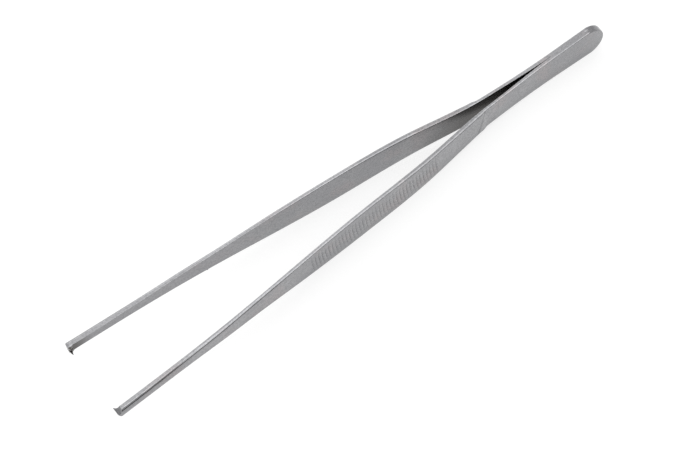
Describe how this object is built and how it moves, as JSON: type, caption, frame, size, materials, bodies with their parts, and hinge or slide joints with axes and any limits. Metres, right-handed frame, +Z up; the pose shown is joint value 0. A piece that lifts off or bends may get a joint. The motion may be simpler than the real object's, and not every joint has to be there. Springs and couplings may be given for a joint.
{
  "type": "thumb forceps",
  "caption": "Long slender thumb forceps with a welded heel, spring arms, finger grooves on the grip, and small hooked teeth at the tips that close into each other.",
  "frame": {"origin": "under the middle of the length, level with the lowest edge, on the joint plane between the two arms", "axes": "+X from the tips to the welded heel, +Y from the single-tooth arm to the double-tooth arm, +Z up across the width of the blades, as they lie on their side edges"},
  "size_m": [0.2, 0.031, 0.0132],
  "materials": {
    "satin_steel": "satin, with fine scratches along the blades"
  },
  "bodies": {
    "root": {"single_tooth_arm": "satin_steel", "double_tooth_arm": "satin_steel"}
  },
  "joints": []
}
